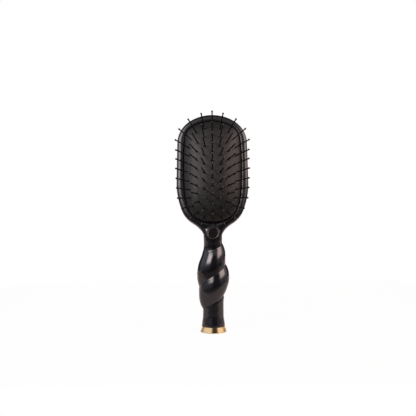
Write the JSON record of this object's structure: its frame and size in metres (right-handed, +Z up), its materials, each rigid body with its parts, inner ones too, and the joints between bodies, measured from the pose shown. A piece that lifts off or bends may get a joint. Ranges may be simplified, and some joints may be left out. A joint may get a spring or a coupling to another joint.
{
  "type": "detangler brush",
  "caption": "Cushion detangler hair brush: oval head with a domed rubber pad of ball-tipped pins, spiral-twisted grip and flared metal foot it stands on",
  "frame": {"origin": "the middle of the foot's flat underside, on the axis of the grip", "axes": "+Z runs up the grip to the head, the pins point towards -Y, and +X is to the right seen from the pin side"},
  "size_m": [0.0782, 0.0629, 0.232],
  "materials": {
    "body": "gloss black",
    "pad": "matte black rubber",
    "pins": "smooth black nylon",
    "ring": "satin champagne metal",
    "disc": "gloss black",
    "foot": "polished gold plating"
  },
  "bodies": {
    "root": {"handle_body": "body", "cushion": "pad", "badge_ring": "ring", "badge_disc": "disc", "gold_foot": "foot", "pins_row_01": "pins", "pins_row_02": "pins", "pins_row_03": "pins", "pins_row_04": "pins", "pins_row_05": "pins", "pins_row_06": "pins", "pins_row_07": "pins", "pins_row_08": "pins", "pins_row_09": "pins", "pins_row_10": "pins", "pins_row_11": "pins", "pins_row_12": "pins", "pins_row_13": "pins", "pins_row_14": "pins", "pins_row_15": "pins", "pins_row_16": "pins", "pins_row_17": "pins", "pins_row_18": "pins", "pins_row_19": "pins", "pins_row_20": "pins", "pins_row_21": "pins", "pins_row_22": "pins", "pins_row_23": "pins"}
  },
  "joints": []
}
